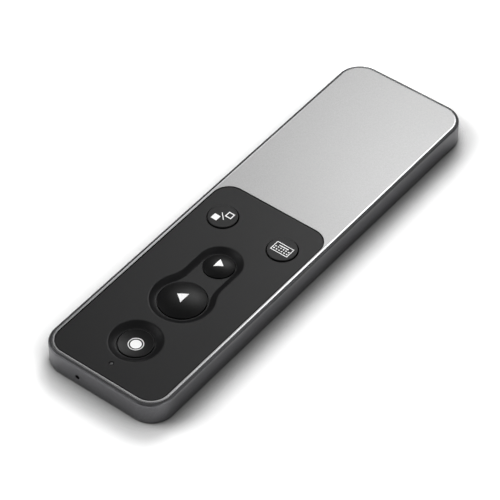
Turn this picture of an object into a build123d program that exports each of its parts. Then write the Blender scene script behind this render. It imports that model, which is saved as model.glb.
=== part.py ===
"""Wireless presentation clicker: a slim aluminium body with five buttons over a
dome-switch board, a beam module behind the front wall and a coin cell at the rear.

Millimetres. Origin under the centre of the body on the table, +Z up,
+Y towards the button end, +X to the right of the hand that holds it.
"""

from build123d import *
from math import sqrt
import os

os.makedirs("parts", exist_ok=True)

# ---------------------------------------------------------------- body
width = 37.0
length = 129.4
height = 6.8
corner_radius = 6.5
wall = 1.4
shoulder_width = 0.85  # sloped shoulder between the side wall and the top plate
shoulder_drop = 0.33
shoulder_round = 0.15
base_radius = 0.8

# ---------------------------------------------------------------- top plate and panel
plate_thickness = 0.9
tape_thickness = 0.1
rim = 0.65  # strip of plate left round the panel
window_share = 0.541731  # window's length as a share of the body's
window_radius = 5.0
panel_gap = 0.15
panel_recess = 0.08
panel_thickness = 1.4
ledge_bite = 0.8  # how far the frame's ledge reaches under the panel
ledge_thickness = 0.8
bridge_width = 3.0
seat_clearance = 0.05
panel_round = 0.1
tape_inset = 0.3
tape_margin = 0.1

# ---------------------------------------------------------------- wells and buttons
well_depth = 0.95
well_slope = 1.9  # plan width of the curved side of a well
dish_radius = 6.8
next_well_radius = 8.32
back_well_radius = 6.05
well_neck_blend = 8.0
well_steps = 5
button_gap = 0.2
laser_radius = 4.55
next_radius = 6.18
back_radius = 4.03
flat_radius = 3.95
laser_dip = 0.55
next_rise = 1.3
back_rise = 0.95
flat_rise = 0.36
rim_drop = 0.7  # panel's face down to the rims of the three buttons in the wells
led_share = 0.0632  # places back from the window's front edge, as shares of its length
laser_share = 0.1944
next_share = 0.4498
back_share = 0.6566
flat_share = 0.8478
flat_side_share = 0.27824  # of the window's width
flange_reach = 0.65
flange_thickness = 0.5
button_travel = 0.3
plunger_radius = 1.0
button_round = 0.1
running_gap = 0.05
light_radius = 0.6
light_gap = 0.1
light_flange_radius = 1.1
light_flange_thickness = 0.4
hair = 0.001  # tolerance when edges are picked by height

# ---------------------------------------------------------------- icons
icon_depth = 0.35
icon_headroom = 0.5
icon_line = 0.28
icon_disc_radius = 1.42
icon_ring_radius = 2.0
next_icon_reach = 2.45
next_icon_side = 3.5
back_icon_reach = 2.1
back_icon_side = 2.95
keyboard_width = 5.4
keyboard_depth = 3.3
keyboard_line = 0.24
keyboard_column_pitch = 0.79
keyboard_row_pitch = 0.82
keyboard_key = 0.38
keyboard_columns = 6
keyboard_rows = 2
keyboard_rows_up = 0.38
keyboard_space = 2.95
keyboard_space_down = 0.7
square_side = 1.9
square_spread = 1.3
stroke_length = 2.6

# ---------------------------------------------------------------- board stack
cover_thickness = 1.0
board_height = 2.5
board_thickness = 0.8
board_side_gap = 1.5
board_rear_gap = 7.7
board_front_gap = 8.8
switch_size = 3.0
switch_height = 0.55
switch_corner = 0.4
switch_nub = 0.2
switch_nub_radius = 0.9
board_corner = 1.0
mat_side_gap = 2.2
mat_thickness = 0.2
mat_skirt = 0.8
mat_corner = 1.5
mat_front_gap = 9.3
mat_rear_reach = 1.2
led_length = 1.6
led_width = 0.8
control_chip_offset = 8.0
crystal_offset = 3.0
chip_row_gap = 9.2  # back button's centre to the row of small parts behind it
radio_chip_size = 5.0
control_chip_size = 4.0
chip_height = 0.75
crystal_length = 3.2
crystal_width = 1.5
crystal_height = 0.6
shield_width = 9.0
shield_length = 8.0
shield_height = 1.15
shield_sheet = 0.15
shield_corner = 0.5

# ---------------------------------------------------------------- beam module
beam_x = 5.86
beam_hole_radius = 0.65
barrel_radius = 1.55
barrel_bore = 1.15
barrel_length = 5.4
beam_window_radius = 1.4
beam_window_thickness = 0.5
lens_thickness = 0.8
lens_rim = 0.4
lens_set_back = 0.4
diode_length = 1.2
diode_base = 0.4
diode_can_radius = 0.9
cradle_inset = 1.0
cradle_thickness = 1.0
cradle_wall = 0.65
cradle_drop = 0.7  # cradle's top edge below the beam
lead_radius = 0.15
lead_spread = 0.8
tongue_gap = 0.75  # between the barrel and the board's tongue beside it

# ---------------------------------------------------------------- coin cell and door
cell_radius = 10.0
cell_thickness = 3.2
cell_share = 0.374113  # place behind the window, as a share of the rear length
cell_pole_radius = 8.8
cell_step = 0.35
cell_edge = 0.25
cell_play = 0.25
collar_wall = 0.85
collar_height = 3.2
collar_shoulder = 2.2
collar_margin = 0.3
door_radius = 11.6
door_thickness = 0.45
door_set_in = 0.05
door_gasket_thickness = 0.12
door_lip = 0.35
door_neck = 10.2
door_play = 0.1
door_round = 0.15
gasket_inset = 0.2
lug_reach = 0.75
lug_height = 0.4
lug_width = 4.4
lug_clearance = 0.15
lug_count = 3
door_turn = 40.0
coin_slot_length = 12.0
coin_slot_width = 1.6
coin_slot_depth = 0.3
contact_width = 4.0
contact_thickness = 0.2
contact_foot = 2.6
contact_inset = 0.4
contact_dimple = 0.1
contact_dimple_radius = 0.9

# ---------------------------------------------------------------- power slider
slider_share = 0.764184  # of the rear length, as the cell's
slider_width = 3.0
slider_length = 4.4
slider_travel = 2.0
slider_flange = 0.9
slider_gap = 0.15
slider_set_in = 0.25
slider_flange_thickness = 0.35
slider_groove = 0.25
slider_groove_count = 3
slider_post = 0.45
slider_post_radius = 0.6
slider_headroom = 0.25
power_switch_width = 7.0
power_switch_length = 3.0

# ---------------------------------------------------------------- screws
cover_screw_radius = 0.8
cover_screw_length = 4.2
cover_screw_head = 1.5
cover_screw_inset = 4.1
cover_screw_socket = 0.5
countersink_angle = 90
screw_end_gap = 0.2
boss_radius = 1.9
board_screw_radius = 0.5
board_screw_head = 1.2
board_screw_head_height = 0.55
board_screw_inset = 3.9
tongue_clearance = 1.1  # between the board's tongue and a boss
middle_screw_gap = 1.4  # ahead of the window's rear edge
rear_screw_gap = 18.0  # behind the cell's centre
screw_land = 2.4  # board left round a screw at its edge
pillar_radius = 1.6
thread_gap = 0.03

# ---------------------------------------------------------------- worked out from the above
plate_width = width - 2 * shoulder_width
plate_length = length - 2 * shoulder_width
plate_radius = corner_radius - shoulder_width
window_width = plate_width - 2 * rim
window_length = window_share * length
window_front = plate_length / 2 - rim
window_y = window_front - window_length / 2
window_rear = window_front - window_length
rear_length = window_rear + length / 2 - wall
cell_y = window_rear - cell_share * rear_length
slider_y = window_rear - slider_share * rear_length
cavity_width = width - 2 * wall
cavity_length = length - 2 * wall
cavity_radius = corner_radius - wall
board_width = cavity_width - 2 * board_side_gap
mat_width = cavity_width - 2 * mat_side_gap
plate_bottom = height - plate_thickness
ledge_top = plate_bottom - tape_thickness
ledge_bottom = ledge_top - ledge_thickness
beam_height = (cover_thickness + ledge_bottom) / 2
cradle_top = beam_height - cradle_drop
panel_top = height - panel_recess
panel_bottom = panel_top - panel_thickness
well_floor = panel_top - well_depth
button_rim = panel_top - rim_drop
opening_width = window_width - 2 * ledge_bite
opening_length = window_length - 2 * ledge_bite
opening_radius = window_radius - ledge_bite
rear_opening_front = window_rear - bridge_width
rear_opening_rear = -(plate_length / 2 - rim - ledge_bite)
flange_top = panel_bottom - running_gap
flange_bottom = flange_top - flange_thickness
board_top = board_height + board_thickness
switch_top = board_top + switch_height
mat_bottom = switch_top + running_gap
mat_top = mat_bottom + mat_thickness
plunger_bottom = mat_top + running_gap + button_travel
board_front = length / 2 - board_front_gap
board_rear = -length / 2 + board_rear_gap
mat_front = length / 2 - mat_front_gap
barrel_front = length / 2 - wall - beam_window_thickness
barrel_rear = barrel_front - barrel_length
neck_top = cover_thickness + running_gap + lug_height
cell_bottom = neck_top + running_gap
cell_top = cell_bottom + cell_thickness
lip_hole = door_neck + 2 * running_gap
lug_radius = door_neck + lug_reach
collar_bore = cell_radius + cell_play
collar_outer = collar_bore + collar_wall
collar_top = cover_thickness + collar_height
screw_x = width / 2 - cover_screw_inset
screw_y = length / 2 - cover_screw_inset
board_screw_x = cavity_width / 2 - board_screw_inset
led_y = window_front - led_share * window_length
laser_spot = (0, window_front - laser_share * window_length)
next_spot = (0, window_front - next_share * window_length)
back_spot = (0, window_front - back_share * window_length)
flat_x = flat_side_share * window_width
flat_y = window_front - flat_share * window_length
keyboard_spot = (-flat_x, flat_y)
blank_spot = (flat_x, flat_y)
radio_spot = (0, (next_spot[1] + back_spot[1]) / 2)
control_spot = (-control_chip_offset, back_spot[1] - chip_row_gap)
crystal_spot = (-crystal_offset, back_spot[1] - chip_row_gap)
cover_screw_spots = [(sx * screw_x, sy * screw_y) for sx in (-1, 1) for sy in (-1, 1)]
tongue_left = -(screw_x - boss_radius - tongue_clearance)
board_screw_spots = [
    (-board_screw_x, window_rear + middle_screw_gap),
    (board_screw_x, window_rear + middle_screw_gap),
    (-board_screw_x, cell_y - rear_screw_gap),
    (board_screw_x, cell_y - rear_screw_gap),
    (tongue_left + screw_land, led_y),
]
board_rest_spots = [(-board_screw_x, next_spot[1]), (board_screw_x, next_spot[1])]
tongue_right = beam_x - barrel_radius - tongue_gap
tongue_front = led_y + screw_land

made = {}


def keep(name, builder):
    """Label a finished piece and write its file."""
    made[name] = builder.part
    builder.part.label = name
    export_step(builder.part, f"parts/{name}.step")


def upright(x, y):
    """A vertical drawing plane through a button's centre line: local x is X, local y is Z."""
    return Plane(origin=(x, y, 0), x_dir=(1, 0, 0), z_dir=(0, -1, 0))


def edges_at(builder, z):
    """The edges of a piece that lie at one height."""
    return builder.edges().filter_by_position(Axis.Z, z - hair, z + hair)


def down_line(x, y):
    """The vertical line a round piece at x, y is turned about."""
    return Axis((x, y, 0), (0, 0, 1))


# ================================================================ body frame
# One machined aluminium ring: the four walls, a sloped shoulder, a ledge for the plate
# and panel with a bridge across it, four screw bosses and the beam hole in front.
with BuildPart() as body_frame:
    with BuildSketch() as outline:
        RectangleRounded(width, length, corner_radius)
    extrude(amount=height)
    top_face = body_frame.faces().sort_by(Axis.Z)[-1]
    chamfer(top_face.edges(), length=shoulder_width, length2=shoulder_drop, reference=top_face)
    fillet(edges_at(body_frame, height - shoulder_drop), radius=shoulder_round)
    fillet(edges_at(body_frame, 0), radius=base_radius)
    with BuildSketch(Plane.XY.offset(ledge_top)):
        RectangleRounded(plate_width, plate_length, plate_radius)
    extrude(amount=height - ledge_top, mode=Mode.SUBTRACT)
    with BuildSketch():
        RectangleRounded(cavity_width, cavity_length, cavity_radius)
    extrude(amount=ledge_bottom, mode=Mode.SUBTRACT)
    with BuildSketch(Plane.XY.offset(ledge_bottom)):
        with Locations((0, window_y)):
            RectangleRounded(opening_width, opening_length, opening_radius)
        with Locations((0, (rear_opening_front + rear_opening_rear) / 2)):
            RectangleRounded(opening_width, rear_opening_front - rear_opening_rear, opening_radius)
    extrude(amount=ledge_thickness, mode=Mode.SUBTRACT)
    with BuildSketch(Plane.XY.offset(cover_thickness)):
        with Locations(*cover_screw_spots):
            Circle(boss_radius)
    extrude(amount=ledge_bottom - cover_thickness)
    with Locations(*[Plane(origin=(x, y, cover_thickness), z_dir=(0, 0, -1)) for x, y in cover_screw_spots]):
        Hole(cover_screw_radius + thread_gap, depth=cover_screw_length - cover_thickness)
    with BuildSketch(Plane.XZ.offset(-length / 2)):
        with Locations((beam_x, beam_height)):
            Circle(beam_hole_radius)
    extrude(amount=wall, mode=Mode.SUBTRACT)
keep("body_frame", body_frame)


# ================================================================ top plate
# Silver anodised sheet with a window for the button panel, bonded on the frame's ledge.
with BuildPart() as top_plate:
    with BuildSketch(Plane.XY.offset(plate_bottom)):
        RectangleRounded(
            plate_width - 2 * seat_clearance,
            plate_length - 2 * seat_clearance,
            plate_radius - seat_clearance,
        )
        with Locations((0, window_y)):
            RectangleRounded(window_width, window_length, window_radius, mode=Mode.SUBTRACT)
    extrude(amount=plate_thickness)
keep("top_plate", top_plate)

with BuildPart() as plate_tape:
    with BuildSketch(Plane.XY.offset(ledge_top)):
        RectangleRounded(
            plate_width - 2 * tape_inset,
            plate_length - 2 * tape_inset,
            plate_radius - tape_inset,
        )
        with Locations((0, window_y)):
            RectangleRounded(
                window_width + 2 * tape_margin,
                window_length + 2 * tape_margin,
                window_radius + tape_margin,
                mode=Mode.SUBTRACT,
            )
        with Locations((0, (rear_opening_front + rear_opening_rear) / 2)):
            RectangleRounded(
                opening_width + 2 * tape_margin,
                rear_opening_front - rear_opening_rear + 2 * tape_margin,
                opening_radius + tape_margin,
                mode=Mode.SUBTRACT,
            )
    extrude(amount=tape_thickness)
keep("plate_tape", plate_tape)

with BuildPart() as panel_tape:
    with BuildSketch(Plane.XY.offset(ledge_top)):
        with Locations((0, window_y)):
            RectangleRounded(
                window_width - 2 * tape_inset,
                window_length - 2 * tape_inset,
                window_radius - tape_inset,
            )
            RectangleRounded(
                opening_width + 2 * tape_margin,
                opening_length + 2 * tape_margin,
                opening_radius + tape_margin,
                mode=Mode.SUBTRACT,
            )
    extrude(amount=tape_thickness)
keep("panel_tape", panel_tape)


# ================================================================ button panel
# Black moulded panel. A dish surrounds the laser button and one keyhole-shaped well
# surrounds the next and back buttons. Both have a flat floor and a curved side.
cove_radius = (well_slope**2 + well_depth**2) / (2 * well_depth)


def keyhole(inset):
    """The keyhole well's outline, drawn inset from its top edge."""
    with BuildSketch() as sketch:
        with Locations(next_spot):
            Circle(next_well_radius - inset)
        with Locations(back_spot):
            Circle(back_well_radius - inset)
        with Locations((0, (next_spot[1] + back_spot[1]) / 2)):
            Rectangle(2 * (back_well_radius - inset), next_spot[1] - back_spot[1])
        low, high = back_spot[1] + well_slope, next_spot[1] - well_slope
        neck = sketch.vertices().filter_by_position(Axis.Y, low, high)
        fillet(neck, radius=well_neck_blend + inset)
    return sketch.sketch


def cove_height(inset):
    """Height of a well's curved side at a distance in from its top edge."""
    run = well_slope - inset
    return well_floor + cove_radius - sqrt(cove_radius**2 - run**2)


with BuildPart() as keyhole_well:
    for step in range(well_steps + 1):
        inset = well_slope * (1 - step / well_steps)
        with BuildSketch(Plane.XY.offset(cove_height(inset))):
            add(keyhole(inset))
    loft(ruled=True)

with BuildPart() as button_panel:
    with BuildSketch(Plane.XY.offset(plate_bottom)):
        with Locations((0, window_y)):
            RectangleRounded(
                window_width - 2 * panel_gap,
                window_length - 2 * panel_gap,
                window_radius - panel_gap,
            )
    extrude(amount=panel_top - plate_bottom)
    fillet(edges_at(button_panel, panel_top), radius=panel_round)
    with BuildSketch(Plane.XY.offset(panel_bottom)):
        with Locations((0, window_y)):
            RectangleRounded(
                opening_width - 2 * panel_gap,
                opening_length - 2 * panel_gap,
                opening_radius - panel_gap,
            )
    extrude(amount=plate_bottom - panel_bottom)
    with BuildSketch(upright(*laser_spot)):
        with BuildLine():
            floor_end = (dish_radius - well_slope, well_floor)
            Polyline((dish_radius, panel_top), (0, panel_top), (0, well_floor), floor_end)
            TangentArc(floor_end, (dish_radius, panel_top), tangent=(1, 0))
        make_face()
    revolve(axis=down_line(*laser_spot), mode=Mode.SUBTRACT)
    add(keyhole_well.part, mode=Mode.SUBTRACT)
    with BuildSketch(Plane.XY.offset(panel_bottom)):
        with Locations(laser_spot):
            Circle(laser_radius + button_gap)
        with Locations(next_spot):
            Circle(next_radius + button_gap)
        with Locations(back_spot):
            Circle(back_radius + button_gap)
        with Locations(keyboard_spot, blank_spot):
            Circle(flat_radius + button_gap)
        with Locations((0, led_y)):
            Circle(light_radius + seat_clearance)
    extrude(amount=panel_thickness, mode=Mode.SUBTRACT)
keep("button_panel", button_panel)

with BuildPart() as light_pipe:
    with BuildSketch(Plane.XY.offset(switch_top + light_gap)):
        with Locations((0, led_y)):
            Circle(light_radius)
    extrude(amount=panel_top - switch_top - light_gap)
    with BuildSketch(Plane.XY.offset(panel_bottom - light_flange_thickness)):
        with Locations((0, led_y)):
            Circle(light_flange_radius)
    extrude(amount=light_flange_thickness)
keep("light_pipe", light_pipe)


# ================================================================ buttons and their icons
# Each button is a black moulding with a flange under the panel and a plunger over its
# switch. Its icon is a second white shot that fills a pocket in the top.
def round_button(spot, radius, rim_height, crown):
    """A whole button turned about its centre line; crown is above or below its rim."""
    with BuildPart() as blank:
        with BuildSketch(upright(*spot)):
            with BuildLine():
                Polyline(
                    (radius, rim_height),
                    (radius, flange_top),
                    (radius + flange_reach, flange_top),
                    (radius + flange_reach, flange_bottom),
                    (plunger_radius, flange_bottom),
                    (plunger_radius, plunger_bottom),
                    (0, plunger_bottom),
                    (0, rim_height + crown),
                )
                if crown == 0:
                    Line((0, rim_height), (radius, rim_height))
                else:
                    TangentArc((0, rim_height + crown), (radius, rim_height), tangent=(1, 0))
            make_face()
        revolve(axis=down_line(*spot))
        fillet(edges_at(blank, rim_height), radius=button_round)
    return blank.part


def disc_and_ring():
    """Laser icon: a filled disc inside a thin ring."""
    with BuildSketch() as icon:
        Circle(icon_ring_radius)
        Circle(icon_ring_radius - icon_line, mode=Mode.SUBTRACT)
        Circle(icon_disc_radius)
    return icon.sketch


def triangle(reach, side):
    """Next and back icons: a triangle about its centroid, pointing along +X or -X."""
    with BuildSketch() as icon:
        Polygon((2 * reach / 3, 0), (-reach / 3, side / 2), (-reach / 3, -side / 2), align=None)
    return icon.sketch


def small_keyboard():
    """Keyboard icon: an outline, two rows of keys and a space bar."""
    with BuildSketch() as icon:
        Rectangle(keyboard_width, keyboard_depth)
        inner = (keyboard_width - 2 * keyboard_line, keyboard_depth - 2 * keyboard_line)
        Rectangle(*inner, mode=Mode.SUBTRACT)
        with Locations((0, keyboard_rows_up)):
            with GridLocations(keyboard_column_pitch, keyboard_row_pitch, keyboard_columns, keyboard_rows):
                Rectangle(keyboard_key, keyboard_key)
        with Locations((0, -keyboard_space_down)):
            Rectangle(keyboard_space, keyboard_key)
    return icon.sketch


def filled_and_open_square():
    """Blank-screen icon: a filled square, a stroke and an open square on one diagonal."""
    with BuildSketch() as icon:
        with Locations((square_spread, square_spread)):
            Rectangle(square_side, square_side)
        with Locations((-square_spread, -square_spread)):
            Rectangle(square_side, square_side)
            Rectangle(square_side - 2 * icon_line, square_side - 2 * icon_line, mode=Mode.SUBTRACT)
        with Locations(Location((0, 0), -45)):
            Rectangle(stroke_length, icon_line)
    return icon.sketch


button_table = [
    ("laser", laser_spot, laser_radius, button_rim, -laser_dip, disc_and_ring()),
    ("next", next_spot, next_radius, button_rim, next_rise, triangle(next_icon_reach, next_icon_side)),
    ("back", back_spot, back_radius, button_rim, back_rise, triangle(-back_icon_reach, back_icon_side)),
    ("keyboard", keyboard_spot, flat_radius, panel_top + flat_rise, 0, small_keyboard()),
    ("blank", blank_spot, flat_radius, panel_top + flat_rise, 0, filled_and_open_square()),
]
for name, spot, radius, rim_height, crown, icon in button_table:
    blank = round_button(spot, radius, rim_height, crown)
    pocket_floor = rim_height + crown - icon_depth
    with BuildPart() as button:
        add(blank)
        with BuildSketch(Plane(origin=(*spot, pocket_floor))):
            add(icon)
        extrude(amount=icon_depth + icon_headroom, mode=Mode.SUBTRACT)
    keep(f"{name}_button", button)
    with BuildPart() as inlay:
        with BuildSketch(Plane(origin=(*spot, pocket_floor))):
            add(icon)
        extrude(amount=icon_depth + icon_headroom)
        add(blank, mode=Mode.INTERSECT)
    keep(f"{name}_icon", inlay)


# ================================================================ keypad mat and switches
# Thin silicone mat with a skirt that stands on the board, over one tact switch per button.
mat_rear = keyboard_spot[1] - flat_radius - flange_reach - mat_rear_reach
mat_length = mat_front - mat_rear
mat_y = (mat_front + mat_rear) / 2
with BuildPart() as keypad_mat:
    with BuildSketch(Plane.XY.offset(board_top)):
        with Locations((0, mat_y)):
            RectangleRounded(mat_width, mat_length, mat_corner)
    extrude(amount=mat_top - board_top)
    with BuildSketch(Plane.XY.offset(board_top)):
        with Locations((0, mat_y)):
            RectangleRounded(mat_width - 2 * mat_skirt, mat_length - 2 * mat_skirt, mat_corner)
    extrude(amount=mat_bottom - board_top, mode=Mode.SUBTRACT)
keep("keypad_mat", keypad_mat)

for name, spot, *_ in button_table:
    with BuildPart() as switch:
        with BuildSketch(Plane(origin=(*spot, board_top))):
            RectangleRounded(switch_size, switch_size, switch_corner)
        extrude(amount=switch_height - switch_nub)
        with BuildSketch(Plane(origin=(*spot, switch_top - switch_nub))):
            Circle(switch_nub_radius)
        extrude(amount=switch_nub)
    keep(f"{name}_switch", switch)


# ================================================================ circuit board
# One board: under the mat, round the cell's collar and out to the status light in front.
with BuildPart() as circuit_board:
    with BuildSketch(Plane.XY.offset(board_height)):
        with Locations((0, (board_front + board_rear) / 2)):
            RectangleRounded(board_width, board_front - board_rear, board_corner)
        with Locations(((tongue_left + tongue_right) / 2, (tongue_front + board_front) / 2)):
            Rectangle(
                tongue_right - tongue_left,
                tongue_front - board_front + 2 * board_corner,
            )
        with Locations((0, cell_y)):
            Circle(collar_outer + collar_margin, mode=Mode.SUBTRACT)
        with Locations(*board_screw_spots):
            Circle(board_screw_radius + thread_gap, mode=Mode.SUBTRACT)
    extrude(amount=board_thickness)
keep("circuit_board", circuit_board)

with BuildPart() as status_led:
    with BuildSketch(Plane(origin=(0, led_y, board_top))):
        Rectangle(led_length, led_width)
    extrude(amount=switch_height)
keep("status_led", status_led)

with BuildPart() as radio_shield:
    with BuildSketch(Plane(origin=(*radio_spot, board_height - shield_height))):
        RectangleRounded(shield_width, shield_length, shield_corner)
    extrude(amount=shield_height)
    with BuildSketch(Plane(origin=(*radio_spot, board_height - shield_height + shield_sheet))):
        Rectangle(shield_width - 2 * shield_sheet, shield_length - 2 * shield_sheet)
    extrude(amount=shield_height - shield_sheet, mode=Mode.SUBTRACT)
keep("radio_shield", radio_shield)

for name, spot, size_x, size_y, size_z in (
    ("radio_chip", radio_spot, radio_chip_size, radio_chip_size, chip_height),
    ("control_chip", control_spot, control_chip_size, control_chip_size, chip_height),
    ("clock_crystal", crystal_spot, crystal_length, crystal_width, crystal_height),
):
    with BuildPart() as chip:
        with BuildSketch(Plane(origin=(*spot, board_height - size_z))):
            Rectangle(size_x, size_y)
        extrude(amount=size_z)
    keep(name, chip)


# ================================================================ beam module
# A brass barrel with the lens in front and the diode behind, in a cradle of the bottom
# cover. A clear disc closes the hole in the front wall from the inside.
def beam_plane(y):
    """Plane across the beam at a distance along it, facing forwards."""
    return Plane(origin=(beam_x, y, beam_height), x_dir=(1, 0, 0), z_dir=(0, 1, 0))


with BuildPart() as laser_barrel:
    with BuildSketch(beam_plane(barrel_rear)):
        Circle(barrel_radius)
        Circle(barrel_bore, mode=Mode.SUBTRACT)
    extrude(amount=barrel_length)
keep("laser_barrel", laser_barrel)

lens_radius = barrel_bore - thread_gap
lens_rear = barrel_front - lens_set_back - lens_thickness
along_beam = Plane(origin=(beam_x, lens_rear, beam_height), x_dir=(0, 1, 0), z_dir=(1, 0, 0))
with BuildPart() as laser_lens:
    with BuildSketch(along_beam):
        with BuildLine():
            rim_start = ((lens_thickness - lens_rim) / 2, lens_radius)
            rim_end = ((lens_thickness + lens_rim) / 2, lens_radius)
            Line((lens_thickness, 0), (0, 0))
            TangentArc((0, 0), rim_start, tangent=(0, 1))
            Line(rim_start, rim_end)
            TangentArc((lens_thickness, 0), rim_end, tangent=(0, 1))
        make_face()
    revolve(axis=Axis((beam_x, lens_rear, beam_height), (0, 1, 0)))
keep("laser_lens", laser_lens)

lead_rear = mat_front + running_gap
with BuildPart() as laser_diode:
    with BuildSketch(beam_plane(barrel_rear)):
        Circle(lens_radius)
    extrude(amount=diode_base)
    with BuildSketch(beam_plane(barrel_rear + diode_base)):
        Circle(diode_can_radius)
    extrude(amount=diode_length - diode_base)
    with BuildSketch(Plane.XZ.offset(-barrel_rear)):
        with Locations((beam_x - lead_spread / 2, board_top + lead_radius)):
            Circle(lead_radius)
        with Locations((beam_x + lead_spread / 2, board_top + lead_radius)):
            Circle(lead_radius)
    extrude(amount=barrel_rear - lead_rear)
keep("laser_diode", laser_diode)

with BuildPart() as beam_window:
    with BuildSketch(beam_plane(barrel_front)):
        Circle(beam_window_radius)
    extrude(amount=beam_window_thickness)
keep("beam_window", beam_window)


# ================================================================ coin cell and contacts
# The cell's can faces the door and its smaller pole faces the upper contact.
with BuildPart() as coin_cell:
    with BuildSketch(Plane(origin=(0, cell_y, cell_bottom))):
        Circle(cell_radius)
    extrude(amount=cell_thickness - cell_step)
    fillet(coin_cell.edges().filter_by(GeomType.CIRCLE), radius=cell_edge)
    with BuildSketch(Plane(origin=(0, cell_y, cell_top - cell_step))):
        Circle(cell_pole_radius)
    extrude(amount=cell_step)
keep("coin_cell", coin_cell)

arm_bottom = cell_top + contact_dimple
arm_top = arm_bottom + contact_thickness
foot_top = board_top + contact_thickness
riser_y = cell_y + collar_outer + collar_margin + contact_inset
with BuildPart() as cell_top_contact:
    with BuildSketch(Plane.YZ.offset(-contact_width / 2)):
        with BuildLine():
            Polyline(
                (riser_y + contact_foot, board_top),
                (riser_y + contact_foot, foot_top),
                (riser_y + contact_thickness, foot_top),
                (riser_y + contact_thickness, arm_top),
                (cell_y - contact_foot, arm_top),
                (cell_y - contact_foot, arm_bottom),
                (riser_y, arm_bottom),
                (riser_y, board_top),
                close=True,
            )
        make_face()
    extrude(amount=contact_width)
    with BuildSketch(Plane(origin=(0, cell_y, cell_top))):
        Circle(contact_dimple_radius)
    extrude(amount=contact_dimple)
keep("cell_top_contact", cell_top_contact)

leaf_y = cell_y - cell_radius - running_gap
leaf_top = collar_top
foot_rear = cell_y - collar_outer - collar_margin - contact_inset - contact_foot
with BuildPart() as cell_side_contact:
    with BuildSketch(Plane.YZ.offset(-contact_width / 2)):
        with BuildLine():
            Polyline(
                (foot_rear, board_top),
                (foot_rear, foot_top),
                (leaf_y - contact_thickness, foot_top),
                (leaf_y - contact_thickness, leaf_top),
                (leaf_y, leaf_top),
                (leaf_y, board_top),
                close=True,
            )
        make_face()
    extrude(amount=contact_width)
keep("cell_side_contact", cell_side_contact)


# ================================================================ bottom cover
# Moulded cover inside the frame's lower edge, screwed up into the four bosses. It carries
# the cell's collar, the board's pillars and rests, and the cradle under the barrel.
lip_bottom = cover_thickness - door_lip
slot_width = slider_width + slider_travel + 2 * slider_gap
lug_path = lug_radius + lug_clearance
collar_profile = (
    (lug_path, cover_thickness),
    (lug_path + collar_wall, cover_thickness),
    (lug_path + collar_wall, collar_shoulder),
    (collar_outer, collar_shoulder),
    (collar_outer, collar_top),
    (collar_bore, collar_top),
    (collar_bore, neck_top + lug_clearance),
    (lug_path, neck_top + lug_clearance),
)


def lug_spokes(radius, spoke_width, turn):
    """Spokes from the door's centre that end on a circle: lugs, or the notches for them."""
    with BuildSketch() as spokes:
        for index in range(lug_count):
            with Locations(Location((0, 0), turn + index * 360 / lug_count)):
                Rectangle(radius, spoke_width, align=(Align.MIN, Align.CENTER))
        Circle(radius, mode=Mode.INTERSECT)
    return spokes.sketch


with BuildPart() as bottom_cover:
    with BuildSketch():
        RectangleRounded(
            cavity_width - 2 * seat_clearance,
            cavity_length - 2 * seat_clearance,
            cavity_radius - seat_clearance,
        )
    extrude(amount=cover_thickness)
    with BuildSketch(Plane.XY.offset(cover_thickness)):
        with Locations(*board_screw_spots, *board_rest_spots):
            Circle(pillar_radius)
    extrude(amount=board_height - cover_thickness)
    with BuildSketch(upright(0, cell_y)):
        with BuildLine():
            Polyline(*collar_profile, close=True)
        make_face()
    revolve(axis=down_line(0, cell_y))
    with BuildSketch(Plane.XY.offset(board_top - seat_clearance)):
        with Locations((0, cell_y - collar_bore)):
            Rectangle(contact_width + 2 * slider_gap, 2 * collar_wall + slider_gap)
    extrude(amount=collar_top - board_top + seat_clearance, mode=Mode.SUBTRACT)
    for rib_y in (barrel_rear + cradle_inset, barrel_front - cradle_inset):
        with BuildSketch(Plane.XZ.offset(-rib_y - cradle_thickness / 2)):
            with Locations((beam_x, (cover_thickness + cradle_top) / 2)):
                Rectangle(2 * (barrel_radius + cradle_wall), cradle_top - cover_thickness)
            with Locations((beam_x, beam_height)):
                Circle(barrel_radius + thread_gap, mode=Mode.SUBTRACT)
        extrude(amount=cradle_thickness)
    with BuildSketch():
        with Locations((0, cell_y)):
            Circle(door_radius + door_play)
    extrude(amount=lip_bottom, mode=Mode.SUBTRACT)
    with BuildSketch():
        with Locations((0, cell_y)):
            Circle(lip_hole)
            add(lug_spokes(lug_path, lug_width + 2 * lug_clearance, door_turn))
        with Locations((slider_travel / 2, slider_y)):
            Rectangle(slot_width, slider_length + 2 * slider_gap)
    extrude(amount=cover_thickness, mode=Mode.SUBTRACT)
    with BuildSketch(Plane.XY.offset(cover_thickness)):
        with Locations(*board_screw_spots):
            Circle(board_screw_radius + thread_gap)
    extrude(amount=board_height - cover_thickness, mode=Mode.SUBTRACT)
    with Locations(*[Plane(origin=(x, y, 0), z_dir=(0, 0, -1)) for x, y in cover_screw_spots]):
        CounterSinkHole(
            cover_screw_radius + thread_gap,
            cover_screw_head + seat_clearance,
            counter_sink_angle=countersink_angle,
        )
keep("bottom_cover", bottom_cover)


# ================================================================ battery door
# Coin-turned disc. Its neck passes the cover's lip and three lugs lock over it.
with BuildPart() as battery_door:
    with BuildSketch(Plane(origin=(0, cell_y, door_set_in))):
        Circle(door_radius)
    extrude(amount=door_thickness)
    fillet(edges_at(battery_door, door_set_in), radius=door_round)
    with BuildSketch(Plane(origin=(0, cell_y, door_set_in + door_thickness))):
        Circle(door_neck)
    extrude(amount=neck_top - door_set_in - door_thickness)
    with BuildSketch(Plane(origin=(0, cell_y, cover_thickness + running_gap))):
        add(lug_spokes(lug_radius, lug_width, 0))
    extrude(amount=lug_height)
    with BuildSketch(Plane(origin=(0, cell_y, door_set_in))):
        SlotOverall(coin_slot_length, coin_slot_width)
    extrude(amount=coin_slot_depth, mode=Mode.SUBTRACT)
keep("battery_door", battery_door)

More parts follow.
